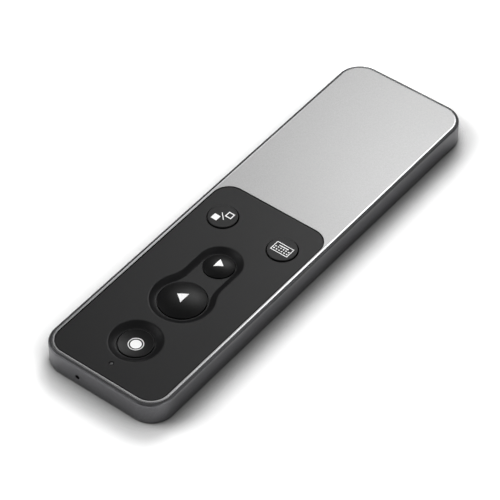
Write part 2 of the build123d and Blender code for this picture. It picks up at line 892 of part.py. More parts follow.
with BuildPart() as door_gasket:
    with BuildSketch(Plane(origin=(0, cell_y, door_set_in + door_thickness))):
        Circle(door_radius - gasket_inset)
        Circle(lip_hole + gasket_inset / 2, mode=Mode.SUBTRACT)
    extrude(amount=door_gasket_thickness)
keep("door_gasket", door_gasket)


# ================================================================ power slider and switch
# A ribbed knob in a slot of the cover. Its post moves the switch under the board.
flange_base = cover_thickness + running_gap
post_top = flange_base + slider_flange_thickness + slider_post
switch_base = flange_base + slider_flange_thickness + slider_headroom
with BuildPart() as power_slider:
    with BuildSketch(Plane(origin=(0, slider_y, slider_set_in))):
        Rectangle(slider_width, slider_length)
    extrude(amount=flange_base - slider_set_in)
    with BuildSketch(Plane(origin=(0, slider_y, slider_set_in))):
        with GridLocations(slider_width / (slider_groove_count + 1), 0, slider_groove_count, 1):
            Rectangle(slider_groove, slider_length)
    extrude(amount=slider_groove, mode=Mode.SUBTRACT)
    with BuildSketch(Plane(origin=(0, slider_y, flange_base))):
        Rectangle(slider_width + 2 * slider_flange, slider_length + 2 * slider_flange)
    extrude(amount=slider_flange_thickness)
    with BuildSketch(Plane(origin=(0, slider_y, flange_base + slider_flange_thickness))):
        Circle(slider_post_radius)
    extrude(amount=slider_post)
keep("power_slider", power_slider)

with BuildPart() as power_switch:
    with BuildSketch(Plane(origin=(slider_travel / 2, slider_y, switch_base))):
        Rectangle(power_switch_width, power_switch_length)
    extrude(amount=board_height - switch_base)
    with BuildSketch(Plane(origin=(slider_travel / 2, slider_y, switch_base))):
        groove = 2 * (slider_post_radius + slider_gap)
        Rectangle(slider_travel + groove, groove)
    extrude(amount=post_top - switch_base + slider_gap, mode=Mode.SUBTRACT)
keep("power_switch", power_switch)


# ================================================================ screws
with BuildPart() as cover_screws:
    with BuildSketch(Plane.XY.offset(running_gap)):
        with Locations(*cover_screw_spots):
            Circle(cover_screw_head)
    extrude(amount=cover_screw_head - cover_screw_radius, taper=countersink_angle / 2)
    with BuildSketch(Plane.XY.offset(running_gap)):
        with Locations(*cover_screw_spots):
            Circle(cover_screw_radius)
    extrude(amount=cover_screw_length - screw_end_gap)
    with BuildSketch(Plane.XY.offset(running_gap)):
        with Locations(*cover_screw_spots):
            RegularPolygon(cover_screw_socket, side_count=6)
    extrude(amount=cover_screw_socket, mode=Mode.SUBTRACT)
keep("cover_screws", cover_screws)

with BuildPart() as board_screws:
    with BuildSketch(Plane.XY.offset(board_top)):
        with Locations(*board_screw_spots):
            Circle(board_screw_head)
    extrude(amount=board_screw_head_height)
    with BuildSketch(Plane.XY.offset(cover_thickness + running_gap)):
        with Locations(*board_screw_spots):
            Circle(board_screw_radius)
    extrude(amount=board_top - cover_thickness - running_gap)
    with BuildSketch(Plane.XY.offset(board_top + board_screw_head_height)):
        with Locations(*board_screw_spots):
            RegularPolygon(board_screw_radius, side_count=6)
    extrude(amount=-board_screw_head_height / 2, mode=Mode.SUBTRACT)
keep("board_screws", board_screws)
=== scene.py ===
import math

import bpy
import bmesh
from mathutils import Matrix, Vector


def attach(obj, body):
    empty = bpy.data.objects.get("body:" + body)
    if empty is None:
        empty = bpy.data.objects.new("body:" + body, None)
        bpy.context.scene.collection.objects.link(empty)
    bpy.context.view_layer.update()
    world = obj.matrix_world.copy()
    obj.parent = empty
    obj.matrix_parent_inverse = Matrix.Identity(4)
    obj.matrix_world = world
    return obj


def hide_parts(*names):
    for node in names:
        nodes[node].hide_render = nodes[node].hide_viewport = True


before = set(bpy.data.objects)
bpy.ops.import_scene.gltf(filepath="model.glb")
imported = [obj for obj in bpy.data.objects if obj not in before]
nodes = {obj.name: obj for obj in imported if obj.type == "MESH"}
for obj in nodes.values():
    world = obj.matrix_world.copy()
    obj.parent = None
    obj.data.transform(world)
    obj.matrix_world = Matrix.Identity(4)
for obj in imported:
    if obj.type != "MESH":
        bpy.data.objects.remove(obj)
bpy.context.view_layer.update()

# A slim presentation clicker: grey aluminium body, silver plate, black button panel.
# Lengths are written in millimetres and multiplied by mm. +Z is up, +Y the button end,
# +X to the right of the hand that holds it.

mm = 0.001
scene = bpy.context.scene

# ============================================================================ body frame
# A ring machined from aluminium, bead-blasted and anodised dark grey: side walls, sloped
# shoulder, and the ledge that carries plate and panel. Its section is swept round the outline.
body_width, body_length, body_height = 37.0, 129.4, 6.8
body_corner, corner_steps = 6.5, 24
shoulder_in, shoulder_down, shoulder_round = 0.85, 0.33, 0.5
lip_round = 0.03
base_round = 0.8
shoulder_bright = 0.125  # how far above the shoulder's foot the bare cut metal starts
wall_in = 1.4
ledge_low, ledge_high = 5.0, 5.8
beam_x, beam_z, beam_radius = 5.86, 3.0, 0.65
drill_depth, drill_sides = 4, 48
sharp_angle = 35  # degrees; faces that meet at more than this keep a sharp edge
weld_distance = 0.0005
cloud_width, cloud_share, gloss_swing = 14, 0.25, 0.1


def rounded(before, corner, after, radius, steps=5, hold=0.04):
    """Points that round one corner of a section, with a held point on the flat at each end."""
    a, c, b = Vector(before), Vector(corner), Vector(after)
    u, v = (a - c).normalized(), (b - c).normalized()
    half = math.acos(max(-1.0, min(1.0, u.dot(v)))) / 2
    reach = radius / math.tan(half)
    centre = c + (u + v).normalized() * radius / math.sin(half)
    start, end = c + u * reach, c + v * reach
    points = [start + u * hold]
    for i in range(steps + 1):
        ray = (start - centre).lerp(end - centre, i / steps).normalized()
        points.append(centre + ray * radius)
    points.append(end + v * hold)
    return [tuple(p) for p in points]


def finished(obj, material, body, replaced=()):
    """Give a finished piece its material, shading and body, and hide the CAD pieces it replaces."""
    obj.data.materials.clear()
    obj.data.materials.append(material)
    obj.data.shade_smooth()
    obj.data.set_sharp_from_angle(angle=math.radians(sharp_angle))
    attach(obj, body)
    if replaced:
        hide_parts(*replaced)
    return obj


def new_mesh(name, bm):
    """Turn a bmesh into an object in the scene, its faces outwards."""
    bmesh.ops.remove_doubles(bm, verts=bm.verts, dist=weld_distance * mm)
    bmesh.ops.recalc_face_normals(bm, faces=bm.faces)
    mesh = bpy.data.meshes.new(name)
    bm.to_mesh(mesh)
    bm.free()
    obj = bpy.data.objects.new(name, mesh)
    scene.collection.objects.link(obj)
    return obj


def add_node(tree, kind, inputs=None, **settings):
    """Add one node. settings are its properties; inputs give each socket a value or a source."""
    node = tree.nodes.new(kind)
    for key, value in settings.items():
        setattr(node, key, value)
    for key, value in (inputs or {}).items():
        if isinstance(value, bpy.types.NodeSocket):
            tree.links.new(value, node.inputs[key])
        else:
            node.inputs[key].default_value = value
    return node


def hex_linear(text):
    """An sRGB hex colour as linear red, green, blue and alpha."""
    out = []
    for i in (1, 3, 5):
        c = int(text[i:i + 2], 16) / 255
        out.append(c / 12.92 if c <= 0.04045 else ((c + 0.055) / 1.055) ** 2.4)
    return (*out, 1.0)


def new_material(name):
    """An empty material with its shader and object coordinates: (material, tree, shader, place)."""
    material = bpy.data.materials.new(name)
    material.use_nodes = True
    tree = material.node_tree
    tree.nodes.clear()
    shader = add_node(tree, "ShaderNodeBsdfPrincipled")
    add_node(tree, "ShaderNodeOutputMaterial", {"Surface": shader.outputs["BSDF"]})
    place = add_node(tree, "ShaderNodeTexCoord").outputs["Object"]
    return material, tree, shader, place


def blasted(name, dark, light, roughness, grain, depth, metallic=1.0, specular=0.5):
    """A fine even grain, as on blasted metal and on plastic from a spark-eroded mould.

    grain and depth are the width and height of its pits. A faint, wide cloud takes a share of
    the tint, and the roughness swings a little with both. The plain finishes inside use it too.
    """
    material, tree, shader, place = new_material(name)
    fine = add_node(tree, "ShaderNodeTexNoise",
                    {"Vector": place, "Scale": 1 / (grain * mm), "Detail": 2.0, "Roughness": 0.6})
    cloud = add_node(tree, "ShaderNodeTexNoise",
                     {"Vector": place, "Scale": 1 / (cloud_width * mm), "Detail": 2.0})
    mixed = add_node(tree, "ShaderNodeMix",
                     {"Factor": cloud_share, "A": fine.outputs["Fac"], "B": cloud.outputs["Fac"]})
    tint = add_node(tree, "ShaderNodeValToRGB", {"Fac": mixed.outputs["Result"]})
    for stop, position, colour in zip(tint.color_ramp.elements, (0.35, 0.65), (dark, light)):
        stop.position = position
        stop.color = hex_linear(colour)
    gloss = add_node(tree, "ShaderNodeMapRange",
                     {"Value": mixed.outputs["Result"], "From Min": 0.3, "From Max": 0.7,
                      "To Min": roughness * (1 - gloss_swing),
                      "To Max": roughness * (1 + gloss_swing)})
    bump = add_node(tree, "ShaderNodeBump",
                    {"Strength": 1.0, "Distance": depth * mm, "Height": fine.outputs["Fac"]})
    shader.inputs["Metallic"].default_value = metallic
    shader.inputs["Specular IOR Level"].default_value = specular
    tree.links.new(tint.outputs["Color"], shader.inputs["Base Color"])
    tree.links.new(gloss.outputs["Result"], shader.inputs["Roughness"])
    tree.links.new(bump.outputs["Normal"], shader.inputs["Normal"])
    return material


# A dark satin grey that takes on the tone of the table beside it. Blasting grit leaves
# 0.05 mm pits; they are drawn 0.3 mm wide so that they still show.
grey_anodised = blasted("anodised aluminium, blasted dark grey", "#626264", "#6E6E70",
                        roughness=0.36, grain=0.3, depth=0.004)

shoulder_foot, shoulder_top = (0, body_height - shoulder_down), (shoulder_in, body_height)
section = (
    rounded((wall_in, 0), (0, 0), (0, ledge_low), base_round, steps=8)
    + rounded((0, ledge_low), shoulder_foot, shoulder_top, shoulder_round, steps=8)
    + rounded(shoulder_foot, shoulder_top, (shoulder_in, ledge_high), lip_round, steps=3, hold=0.01)
    + [(shoulder_in, ledge_low), (wall_in, ledge_low), (wall_in, 0)]
)
section_mesh = bpy.data.meshes.new("frame_section")
section_mesh.from_pydata([(-x * mm, -z * mm, 0) for x, z in section],
                         [(i, (i + 1) % len(section)) for i in range(len(section))], [])
frame_ring = bpy.data.objects.new("frame_ring", section_mesh)
scene.collection.objects.link(frame_ring)


def new_tree(name, sizes):
    """A geometry tree with a geometry input, named size inputs and a material input."""
    tree = bpy.data.node_groups.new(name, "GeometryNodeTree")
    side = tree.interface
    side.new_socket("Geometry", in_out="OUTPUT", socket_type="NodeSocketGeometry")
    side.new_socket("Geometry", in_out="INPUT", socket_type="NodeSocketGeometry")
    for size_name, kind in sizes.items():
        side.new_socket(size_name, in_out="INPUT", socket_type=kind)
    side.new_socket("Material", in_out="INPUT", socket_type="NodeSocketMaterial")
    return tree, add_node(tree, "NodeGroupInput").outputs


def grown(obj, tree, values):
    """Run a geometry tree on an object and keep the result as its plain mesh."""
    modifier = obj.modifiers.new(tree.name, "NODES")
    modifier.node_group = tree
    for item in tree.interface.items_tree:
        if item.in_out == "INPUT" and item.name in values:
            modifier[item.identifier] = values[item.name]
    bpy.context.view_layer.update()
    depsgraph = bpy.context.evaluated_depsgraph_get()
    mesh = bpy.data.meshes.new_from_object(obj.evaluated_get(depsgraph))
    obj.modifiers.remove(modifier)
    obj.data = mesh
    return obj


sweep_tree, given = new_tree("section round the outline", {
    "Width": "NodeSocketFloat", "Length": "NodeSocketFloat", "Corner": "NodeSocketFloat",
    "Hole Place": "NodeSocketVector", "Hole Radius": "NodeSocketFloat"})
outline = add_node(sweep_tree, "GeometryNodeCurvePrimitiveQuadrilateral",
                   {"Width": given["Width"], "Height": given["Length"]})
outline = add_node(sweep_tree, "GeometryNodeFilletCurve",
                   {"Curve": outline.outputs["Curve"], "Radius": given["Corner"],
                    "Count": corner_steps}, mode="POLY")
loop = add_node(sweep_tree, "GeometryNodeMeshToCurve", {"Mesh": given["Geometry"]})
swept = add_node(sweep_tree, "GeometryNodeCurveToMesh",
                 {"Curve": outline.outputs["Curve"], "Profile Curve": loop.outputs["Curve"]})
drill = add_node(sweep_tree, "GeometryNodeMeshCylinder",
                 {"Vertices": drill_sides, "Radius": given["Hole Radius"],
                  "Depth": drill_depth * mm})
drill = add_node(sweep_tree, "GeometryNodeTransform",
                 {"Geometry": drill.outputs["Mesh"], "Translation": given["Hole Place"],
                  "Rotation": (math.pi / 2, 0, 0)})
drilled = add_node(sweep_tree, "GeometryNodeMeshBoolean", operation="DIFFERENCE", solver="EXACT")
sweep_tree.links.new(swept.outputs["Mesh"], drilled.inputs["Mesh 1"])
sweep_tree.links.new(drill.outputs["Geometry"], drilled.inputs["Mesh 2"])
solid = add_node(sweep_tree, "GeometryNodeRealizeInstances", {"Geometry": drilled.outputs["Mesh"]})
painted = add_node(sweep_tree, "GeometryNodeSetMaterial",
                   {"Geometry": solid.outputs["Geometry"], "Material": given["Material"]})
add_node(sweep_tree, "NodeGroupOutput", {"Geometry": painted.outputs["Geometry"]})
grown(frame_ring, sweep_tree, {
    "Width": body_width * mm, "Length": body_length * mm, "Corner": body_corner * mm,
    "Hole Place": (beam_x * mm, (body_length / 2 - wall_in / 2) * mm, beam_z * mm),
    "Hole Radius": beam_radius * mm, "Material": grey_anodised})
finished(frame_ring, grey_anodised, "body", ["body_frame"])

# The top of the shoulder is cut again with a diamond after the dye, and so is the plate's
# edge. Bare, smoother metal: a thin line, bright where it faces a lamp and dark elsewhere.
cut_bright, _, shader, _ = new_material("aluminium, diamond cut")
shader.inputs["Base Color"].default_value = hex_linear("#B4B4B6")
shader.inputs["Metallic"].default_value = 1.0
shader.inputs["Roughness"].default_value = 0.2
frame_ring.data.materials.append(cut_bright)
for face in frame_ring.data.polygons:
    face.material_index = int(face.center.z > (body_height - shoulder_down + shoulder_bright) * mm)

# ============================================================================ top plate
# Silver sheet let into the frame: aluminium, bead-blasted and clear anodised, with a window
# for the button panel. Its outer edge has a narrow diamond-cut facet, so a bright line
# runs round it.
plate_width, plate_length, plate_corner = 35.24, 127.64, 5.62
plate_low, plate_high = 5.9, 6.8
window_width, window_length, window_corner = 34.0, 70.1, 5.0
window_y = 28.15
plate_edge = 0.05
plate_facet, plate_fall = 0.28, 0.03  # the facet's width and how far it falls
facet_start, facet_stop = 0.1, 0.95  # shares of that fall between which a face is cut bright
facet_level = 0.9  # how far up such a face looks at least: 1 is straight up
facet_low_round, facet_high_round = 0.02, 0.1
plate_foot = 0.2  # width of the flat ring drawn under each edge
under_edge = {"radius": 0.04, "steps": 2, "hold": 0.01}  # a broken edge that doesn't show


def round_rect(width, length, corner, centre_y=0.0, steps=14):
    """The outline of a rounded rectangle as a function of how far in from it a point lies."""
    def outline(inset):
        points = []
        half_x, half_y, radius = width / 2 - inset, length / 2 - inset, corner - inset
        for turn, (sx, sy) in enumerate(((1, 1), (-1, 1), (-1, -1), (1, -1))):
            for i in range(steps + 1):
                angle = math.radians(90 * (turn + i / steps))
                points.append((sx * (half_x - radius) + radius * math.cos(angle),
                               centre_y + sy * (half_y - radius) + radius * math.sin(angle)))
        return points
    return outline


def circle(centre, radius, steps=96):
    """The outline of a circle as a function of how far in from it a point lies."""
    def outline(inset):
        turns = [math.tau * i / steps for i in range(steps)]
        return [(centre[0] + (radius - inset) * math.cos(t),
                 centre[1] + (radius - inset) * math.sin(t)) for t in turns]
    return outline


def raise_rings(bm, outline, section):
    """Rings of points, one for each (inset, height) of a section, joined by faces."""
    rings = [[bm.verts.new((x * mm, y * mm, z * mm)) for x, y in outline(inset)]
             for inset, z in section]
    for low_ring, high_ring in zip(rings, rings[1:]):
        count = len(low_ring)
        for i in range(count):
            j = (i + 1) % count
            bm.faces.new((low_ring[i], low_ring[j], high_ring[j], high_ring[i]))
    return rings


def fill_between(bm, *rings):
    """Fill a flat area bounded by rings of points: the first outside, the rest holes in it."""
    edges = []
    for ring in rings:
        for i, vert in enumerate(ring):
            other = ring[(i + 1) % len(ring)]
            edges.append(bm.edges.get((vert, other)) or bm.edges.new((vert, other)))
    bmesh.ops.triangle_fill(bm, use_beauty=True, use_dissolve=False, edges=edges)


# A pale satin sheet with a fine grain. It brightens softly towards the lamp that it mirrors.
silver_anodised = blasted("anodised aluminium, blasted silver", "#8B8B8B", "#959595",
                          roughness=0.38, grain=0.3, depth=0.004)

facet_low, facet_high = (0, plate_high - plate_fall), (plate_facet, plate_high)
bm = bmesh.new()
outer = raise_rings(
    bm, round_rect(plate_width, plate_length, plate_corner),
    [(plate_foot, plate_low)]
    + rounded((1, plate_low), (0, plate_low), (0, plate_high), **under_edge)
    + rounded((0, plate_low), facet_low, facet_high, facet_low_round, steps=3, hold=0.02)
    + rounded(facet_low, facet_high, (1, plate_high), facet_high_round, steps=1, hold=0.02))
inner = raise_rings(
    bm, round_rect(window_width, window_length, window_corner, window_y),
    [(-plate_foot, plate_low)]
    + rounded((-1, plate_low), (0, plate_low), (0, plate_high), **under_edge)
    + rounded((0, plate_low), (0, plate_high), (-1, plate_high), plate_edge, steps=4, hold=0.03))
fill_between(bm, outer[-1], inner[-1])
fill_between(bm, outer[0], inner[0])
silver_plate = finished(new_mesh("silver_plate", bm), silver_anodised, "body",
                        ["top_plate"])
silver_plate.data.materials.append(cut_bright)
for face in silver_plate.data.polygons:
    rise = (face.center.z / mm - plate_high + plate_fall) / plate_fall
    on_facet = facet_start < rise < facet_stop and face.normal.z > facet_level
    face.material_index = int(on_facet)

# ============================================================================ button panel
# Moulded black PC/ABS, bonded in the window. A round dish surrounds the laser button and a
# keyhole-shaped well the next and back buttons; both have a nearly straight side.
panel_width, panel_length, panel_corner = 33.6, 69.7, 4.8
panel_high, panel_step, panel_low = 6.72, 5.9, 5.32
panel_skirt_width, panel_skirt_length, panel_skirt_corner = 32.1, 68.2, 4.05
well_floor, dish_slope, well_slope = 5.77, 1.9, 1.69
well_steps, well_bend = 24, 1.25  # rings down the side; 1 would be a straight slope
lip_drop, lip_reach = 0.025, 0.05  # the softened top edge of a well
lip_holds, foot_hold = (-0.35, -0.3), 0.04  # where rings hold the flats beside a well's side
laser_spot, next_spot, back_spot = (0, 49.573), (0, 31.669), (0, 17.172)
keyboard_spot, blank_spot = (-9.46, 3.769), (9.46, 3.769)
light_spot = (0, 58.77)
dish_radius, next_well, back_well, neck_blend = 6.8, 8.32, 6.05, 8.0
button_gap = 0.22
laser_radius, next_radius, back_radius, flat_radius = 4.55, 6.18, 4.03, 3.95
light_hole = 0.65
panel_edge, hole_edge = 0.1, 0.04


def keyhole(steps=64, blend_steps=20):
    """The keyhole well's outline: two circles, a straight neck and blends into the larger."""
    blend_x = back_well + neck_blend
    drop = math.sqrt((next_well + neck_blend) ** 2 - blend_x ** 2)
    blend_y = next_spot[1] - drop
    lean = math.atan2(drop, blend_x)

    def outline(inset):
        big, small, blend = next_well - inset, back_well - inset, neck_blend + inset
        right = []
        for i in range(steps + 1):
            angle = math.pi / 2 - (math.pi / 2 + lean) * i / steps
            right.append((big * math.cos(angle), next_spot[1] + big * math.sin(angle)))
        for i in range(1, blend_steps + 1):
            angle = (math.pi - lean) + lean * i / blend_steps
            right.append((blend_x + blend * math.cos(angle), blend_y + blend * math.sin(angle)))
        for i in range(steps + 1):
            angle = -math.pi / 2 * i / steps
            right.append((small * math.cos(angle), back_spot[1] + small * math.sin(angle)))
        return right + [(-x, y) for x, y in reversed(right[1:-1])]
    return outline


def well_section(slope):
    """Down a well's side: softened top edge, then a nearly straight slope to the flat floor."""
    points = [(inset, panel_high) for inset in lip_holds]
    for i in range(well_steps + 1):
        inset = slope * i / well_steps
        z = well_floor + (panel_high - well_floor) * (1 - i / well_steps) ** well_bend
        points.append((inset, z - lip_drop * math.exp(-inset / lip_reach)))
    points.append((slope + foot_hold, well_floor))
    return points


def hole_section(top):
    """Through a button's hole from the floor round it: softened edge, then the straight bore."""
    return rounded((-1, top), (0, top), (0, panel_low), hole_edge,
                   steps=3, hold=0.015) + [(0, panel_low)]


# A dull, even black: the eroded mould's texture breaks up every reflection.
panel_black = blasted("ABS, moulded black with a fine eroded texture", "#0D0D0E", "#101011",
                      roughness=0.41, grain=0.28, depth=0.003, metallic=0.0, specular=0.25)

bm = bmesh.new()
side = raise_rings(
    bm, round_rect(panel_width, panel_length, panel_corner, window_y),
    [(panel_width / 2 - panel_skirt_width / 2, panel_step)]
    + rounded((1, panel_step), (0, panel_step), (0, panel_high), **under_edge)
    + rounded((0, panel_step), (0, panel_high), (1, panel_high), panel_edge, steps=4, hold=0.03))
skirt = raise_rings(
    bm, round_rect(panel_skirt_width, panel_skirt_length, panel_skirt_corner, window_y),
    [(0, panel_step), (0, panel_low)])
dish = raise_rings(bm, circle(laser_spot, dish_radius), well_section(dish_slope))
well = raise_rings(bm, keyhole(), well_section(well_slope))
holes = {}
for key, spot, radius, top in (
    ("laser", laser_spot, laser_radius + button_gap, well_floor),
    ("next", next_spot, next_radius + button_gap, well_floor),
    ("back", back_spot, back_radius + button_gap, well_floor),
    ("keyboard", keyboard_spot, flat_radius + button_gap, panel_high),
    ("blank", blank_spot, flat_radius + button_gap, panel_high),
    ("light", light_spot, light_hole, panel_high),
):
    holes[key] = raise_rings(bm, circle(spot, radius), hole_section(top))
fill_between(bm, side[-1], dish[0], well[0],
             holes["keyboard"][0], holes["blank"][0], holes["light"][0])
fill_between(bm, dish[-1], holes["laser"][0])
fill_between(bm, well[-1], holes["next"][0], holes["back"][0])
fill_between(bm, skirt[-1], *[rings[-1] for rings in holes.values()])
finished(new_mesh("panel", bm), panel_black, "body", ["button_panel"])

# ============================================================================ the five buttons
# Black ABS mouldings with a satin skin. Laser is dished, next and back are domed, the two
# at the rear are flat. Each has a flange under the panel and a plunger over its switch.
button_rim, flat_proud = 6.02, 0.36
flange_high, flange_low, flange_reach = 5.27, 4.77, 0.65
plunger_low, plunger_radius = 4.45, 1.0
crown_margin, crown_steps = 0.35, 28  # the crown's rings stop this far from the rim
# Each button's spot, radius, rim height, crown (below 0 a dish) and rounding of the rim.
buttons = {
    "laser": (laser_spot, laser_radius, button_rim, -0.55, 0.15),
    "next": (next_spot, next_radius, button_rim, 1.3, 0.1),
    "back": (back_spot, back_radius, button_rim, 0.95, 0.1),
    "keyboard": (keyboard_spot, flat_radius, panel_high + flat_proud, 0, 0.16),
    "blank": (blank_spot, flat_radius, panel_high + flat_proud, 0, 0.16),
}


def cap_height(radius, rim, crown):
    """The height of a button's top at a distance from its centre line: a ball's cap, or flat."""
    if crown == 0:
        return lambda r: rim
    ball = (radius ** 2 + crown ** 2) / (2 * abs(crown))
    sign = 1 if crown > 0 else -1
    return lambda r: rim + crown - sign * (ball - math.sqrt(ball ** 2 - r ** 2))


def turned(bm, centre, section, steps=128):
    """Turn a section of (radius, height) points about a centre line, closed where it meets it."""
    rings = []
    for radius, z in section:
        if radius == 0:
            rings.append([bm.verts.new((centre[0] * mm, centre[1] * mm, z * mm))])
        else:
            turns = [math.tau * i / steps for i in range(steps)]
            rings.append([bm.verts.new(((centre[0] + radius * math.cos(t)) * mm,
                                        (centre[1] + radius * math.sin(t)) * mm, z * mm))
                          for t in turns])
    for a, b in zip(rings, rings[1:]):
        for i in range(steps):
            j = (i + 1) % steps
            if len(a) == 1:
                bm.faces.new((a[0], b[j], b[i]))
            elif len(b) == 1:
                bm.faces.new((a[i], a[j], b[0]))
            else:
                bm.faces.new((a[i], a[j], b[j], b[i]))


# A shade blacker and smoother than the panel, so that a dome carries one soft highlight.
button_black = blasted("ABS, moulded black with a satin skin", "#090909", "#0C0C0D",
                       roughness=0.40, grain=0.25, depth=0.001, metallic=0.0, specular=0.25)

tops = {}
for name, (spot, radius, rim, crown, edge) in buttons.items():
    top = cap_height(radius, rim, crown)
    tops[name] = top
    last = radius - crown_margin
    section = [(last * i / crown_steps, top(last * i / crown_steps))
               for i in range(crown_steps + 1)]
    section += rounded((last, top(last)), (radius, rim), (radius, flange_high), edge,
                       steps=6, hold=0.03)
    section += [(radius, flange_high), (radius + flange_reach, flange_high),
                (radius + flange_reach, flange_low), (plunger_radius, flange_low),
                (plunger_radius, plunger_low), (0, plunger_low)]
    bm = bmesh.new()
    turned(bm, spot, section)
    finished(new_mesh(name + "_cap", bm), button_black, name + "_key",
             [name + "_button"])

# ============================================================================ icons
# White ABS shot through each button's top and flush with it: disc and ring, two triangles,
# a small keyboard, and a filled and an open square for the blank screen.
icon_depth, icon_proud = 0.3, 0.012
disc_radii, ring_radii = (0, 0.4, 0.8, 1.15, 1.42), (1.8, 1.9, 2.0)
next_reach, next_side = 2.45, 3.5
back_reach, back_side = 2.1, 2.95
filled_side, open_side, open_line, square_spread = 1.83, 1.9, 0.28, 1.3
stroke_length, stroke_width = 2.6, 0.2
keyboard_width, keyboard_depth, keyboard_line = 5.25, 3.2, 0.22
space_width, space_depth, space_down = 2.85, 0.3, 0.72
key_side, key_columns, key_rows, keys_up = 0.38, 6, 2, 0.38
key_pitch_x, key_pitch_y = 0.79, 0.82


def inlay(name, key, points, faces):
    """A flat pattern laid on a button's top as a closed piece that follows its curve."""
    centre, *_ = buttons[key]
    height = tops[key]
    bm = bmesh.new()
    places = [(centre[0] + x, centre[1] + y, height(math.hypot(x, y)) + icon_proud)
              for x, y in points]
    high = [bm.verts.new((x * mm, y * mm, z * mm)) for x, y, z in places]
    low = [bm.verts.new((x * mm, y * mm, (z - icon_depth) * mm)) for x, y, z in places]
    used = {}
    for face in faces:
        bm.faces.new([high[i] for i in face])
        bm.faces.new([low[i] for i in reversed(face)])
        for a, b in zip(face, face[1:] + face[:1]):
            used[frozenset((a, b))] = used.get(frozenset((a, b)), 0) + 1
    for face in faces:
        for a, b in zip(face, face[1:] + face[:1]):
            if used[frozenset((a, b))] == 1:
                bm.faces.new((high[b], high[a], low[a], low[b]))
    return new_mesh(name, bm)


def rings_flat(radii, steps=96):
    """Points and faces of a flat ring, or of a disc where the first radius is 0."""
    turns = [math.tau * i / steps for i in range(steps)]
    points, faces, starts = [], [], []
    for radius in radii:
        starts.append(len(points))
        if radius == 0:
            points.append((0.0, 0.0))
        else:
            points += [(radius * math.cos(t), radius * math.sin(t)) for t in turns]
    for a, b, radius in zip(starts, starts[1:], radii):
        for i in range(steps):
            j = (i + 1) % steps
            faces.append([a, b + i, b + j] if radius == 0 else [a + i, b + i, b + j, a + j])
    return points, faces


def triangle_flat(reach, side, steps=14):
    """Points and faces of a triangle about its centroid, its point along +X or -X."""
    tip = Vector((2 * reach / 3, 0))
    left, right = Vector((-reach / 3, side / 2)), Vector((-reach / 3, -side / 2))
    points, index, faces = [], {}, []
    for i in range(steps + 1):
        for j in range(steps + 1 - i):
            index[i, j] = len(points)
            points.append(tuple(tip + (left - tip) * i / steps + (right - tip) * j / steps))
    for i in range(steps):
        for j in range(steps - i):
            faces.append([index[i, j], index[i + 1, j], index[i, j + 1]])
            if i + j < steps - 1:
                faces.append([index[i + 1, j], index[i + 1, j + 1], index[i, j + 1]])
    return points, faces


def frame_flat(centre, width, height, line=None):
    """Points and faces of a filled rectangle, or of its outline where a line width is given."""
    x, y = centre
    a, b = width / 2, height / 2
    corners = [(x - a, y - b), (x + a, y - b), (x + a, y + b), (x - a, y + b)]
    if line is None:
        return corners, [[0, 1, 2, 3]]
    c, d = a - line, b - line
    corners += [(x - c, y - d), (x + c, y - d), (x + c, y + d), (x - c, y + d)]
    return corners, [[i, (i + 1) % 4, 4 + (i + 1) % 4, 4 + i] for i in range(4)]


# Plain white with little sheen, so the icons read from every side.
icon_white = blasted("ABS, white second shot", "#FCFCFC", "#FFFFFF",
                     roughness=0.45, grain=0.3, depth=0.001, metallic=0.0)

disc = inlay("laser_disc", "laser", *rings_flat(disc_radii))
ring = inlay("laser_ring", "laser", *rings_flat(ring_radii))
next_mark = inlay("next_mark", "next", *triangle_flat(next_reach, next_side))
back_mark = inlay("back_mark", "back", *triangle_flat(-back_reach, back_side))
filled = inlay("blank_filled", "blank",
               *frame_flat((square_spread, square_spread), filled_side, filled_side))
opened = inlay("blank_open", "blank",
               *frame_flat((-square_spread, -square_spread), open_side, open_side, open_line))
stroke_points, stroke_faces = frame_flat((0, 0), stroke_length, stroke_width)
turn = math.radians(-45)
stroke_points = [(x * math.cos(turn) - y * math.sin(turn), x * math.sin(turn) + y * math.cos(turn))
                 for x, y in stroke_points]
stroke = inlay("blank_stroke", "blank", stroke_points, stroke_faces)
board_line = inlay("keyboard_outline", "keyboard",
                   *frame_flat((0, 0), keyboard_width, keyboard_depth, keyboard_line))
space_bar = inlay("keyboard_space_bar", "keyboard",
                  *frame_flat((0, -space_down), space_width, space_depth))

grid_tree, given = new_tree("rows and columns of a piece", {
    "Columns": "NodeSocketInt", "Rows": "NodeSocketInt", "Column Pitch": "NodeSocketFloat",
    "Row Pitch": "NodeSocketFloat", "Middle": "NodeSocketVector"})
total = add_node(grid_tree, "ShaderNodeMath",
                 {0: given["Columns"], 1: given["Rows"]}, operation="MULTIPLY")
spots = add_node(grid_tree, "GeometryNodePoints", {"Count": total.outputs[0]})
index = add_node(grid_tree, "GeometryNodeInputIndex").outputs["Index"]
column = add_node(grid_tree, "ShaderNodeMath",
                  {0: index, 1: given["Columns"]}, operation="MODULO")
row = add_node(grid_tree, "ShaderNodeMath", {0: index, 1: given["Columns"]}, operation="DIVIDE")
row = add_node(grid_tree, "ShaderNodeMath", {0: row.outputs[0]}, operation="FLOOR")
axes = []
for count, number, pitch in ((given["Columns"], column, given["Column Pitch"]),
                             (given["Rows"], row, given["Row Pitch"])):
    last = add_node(grid_tree, "ShaderNodeMath", {0: count, 1: 1.0}, operation="SUBTRACT")
    half = add_node(grid_tree, "ShaderNodeMath",
                    {0: last.outputs[0], 1: 0.5}, operation="MULTIPLY")
    step = add_node(grid_tree, "ShaderNodeMath",
                    {0: number.outputs[0], 1: half.outputs[0]}, operation="SUBTRACT")
    axes.append(add_node(grid_tree, "ShaderNodeMath",
                         {0: step.outputs[0], 1: pitch}, operation="MULTIPLY"))
place = add_node(grid_tree, "ShaderNodeCombineXYZ",
                 {"X": axes[0].outputs[0], "Y": axes[1].outputs[0]})
